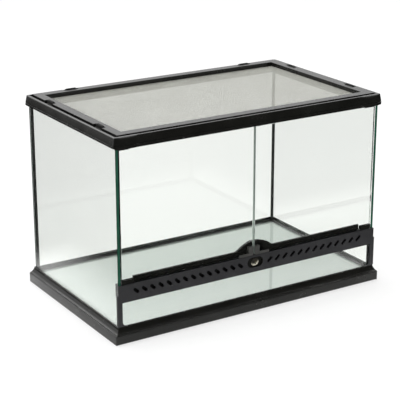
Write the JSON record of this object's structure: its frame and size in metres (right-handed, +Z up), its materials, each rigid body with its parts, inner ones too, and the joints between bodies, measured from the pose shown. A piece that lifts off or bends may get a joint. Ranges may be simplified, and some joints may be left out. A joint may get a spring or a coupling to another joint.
{
  "type": "front-opening glass animal tank with mesh lid",
  "caption": "Low glass tank on a black base, with two swinging glass front doors over a vented strip with a lock, and a lift-off mesh lid.",
  "frame": {"origin": "middle of the base's footprint, on the floor", "axes": "+X to the right along the front, +Y to the back, +Z up"},
  "size_m": [0.518, 0.318, 0.3376],
  "materials": {
    "black_plastic": "moulded black ABS, satin",
    "charcoal_plastic": "moulded charcoal ABS, fine texture",
    "clip_plastic": "moulded black ABS, satin",
    "retainer_plastic": "extruded black PVC",
    "float_glass": "clear float glass, polished edges",
    "silicone": "black aquarium silicone",
    "steel_weave": "fine woven wire, blackened",
    "lid_mesh": "woven wire insect screen",
    "lock_nickel": "nickel-plated brass",
    "pin_steel": "drawn steel"
  },
  "bodies": {
    "tank": {"base_frame": "black_plastic", "floor_glass": "float_glass", "left_glass": "float_glass", "right_glass": "float_glass", "rear_glass": "float_glass", "front_lower_glass": "float_glass", "floor_silicone": "silicone", "rear_left_silicone": "silicone", "rear_right_silicone": "silicone", "front_left_silicone": "silicone", "front_right_silicone": "silicone", "front_bezel": "charcoal_plastic", "vent_insert": "steel_weave", "door_stop": "black_plastic", "lock_housing": "black_plastic", "top_frame_front": "black_plastic", "top_frame_rear": "black_plastic", "top_frame_left": "black_plastic", "top_frame_right": "black_plastic"},
    "left_door": {"left_door_glass": "float_glass", "left_lower_shoe": "black_plastic", "left_upper_shoe": "black_plastic", "left_lower_pin": "pin_steel", "left_upper_pin": "pin_steel", "left_door_catch": "black_plastic"},
    "right_door": {"right_door_glass": "float_glass", "right_lower_shoe": "black_plastic", "right_upper_shoe": "black_plastic", "right_lower_pin": "pin_steel", "right_upper_pin": "pin_steel", "right_door_catch": "black_plastic"},
    "lock": {"lock_barrel": "lock_nickel", "lock_bolt": "lock_nickel", "lock_screw": "lock_nickel"},
    "screen_lid": {"screen_frame": "black_plastic", "screen_mesh": "lid_mesh", "screen_retainer": "retainer_plastic"},
    "left_front_clip_body": {"left_front_clip": "clip_plastic"},
    "left_rear_clip_body": {"left_rear_clip": "clip_plastic"},
    "right_front_clip_body": {"right_front_clip": "clip_plastic"},
    "right_rear_clip_body": {"right_rear_clip": "clip_plastic"},
    "rear_left_clip_body": {"rear_left_clip": "clip_plastic"},
    "rear_right_clip_body": {"rear_right_clip": "clip_plastic"}
  },
  "joints": [
    {"name": "left_door_swing", "type": "hinge", "parent": "tank", "child": "left_door", "pos_m": [-0.232, -0.148, 0.206], "axis": [0, 0, -1], "range_deg": [0, 110]},
    {"name": "right_door_swing", "type": "hinge", "parent": "tank", "child": "right_door", "pos_m": [0.232, -0.148, 0.206], "axis": [0, 0, 1], "range_deg": [0, 110]},
    {"name": "lock_turn", "type": "hinge", "parent": "tank", "child": "lock", "pos_m": [0.004, -0.148, 0.084], "axis": [0, -1, 0], "range_deg": [0, 90]},
    {"name": "screen_lift", "type": "slide", "parent": "tank", "child": "screen_lid", "axis": [0, 0, 1], "range_m": [0, 0.2]},
    {"name": "left_front_clip_slide", "type": "slide", "parent": "screen_lid", "child": "left_front_clip_body", "axis": [-1, 0, 0], "range_m": [0, 0.0052]},
    {"name": "left_rear_clip_slide", "type": "slide", "parent": "screen_lid", "child": "left_rear_clip_body", "axis": [-1, 0, 0], "range_m": [0, 0.0052]},
    {"name": "right_front_clip_slide", "type": "slide", "parent": "screen_lid", "child": "right_front_clip_body", "axis": [1, 0, 0], "range_m": [0, 0.0052]},
    {"name": "right_rear_clip_slide", "type": "slide", "parent": "screen_lid", "child": "right_rear_clip_body", "axis": [1, 0, 0], "range_m": [0, 0.0052]},
    {"name": "rear_left_clip_slide", "type": "slide", "parent": "screen_lid", "child": "rear_left_clip_body", "axis": [0, 1, 0], "range_m": [0, 0.0052]},
    {"name": "rear_right_clip_slide", "type": "slide", "parent": "screen_lid", "child": "rear_right_clip_body", "axis": [0, 1, 0], "range_m": [0, 0.0052]}
  ]
}
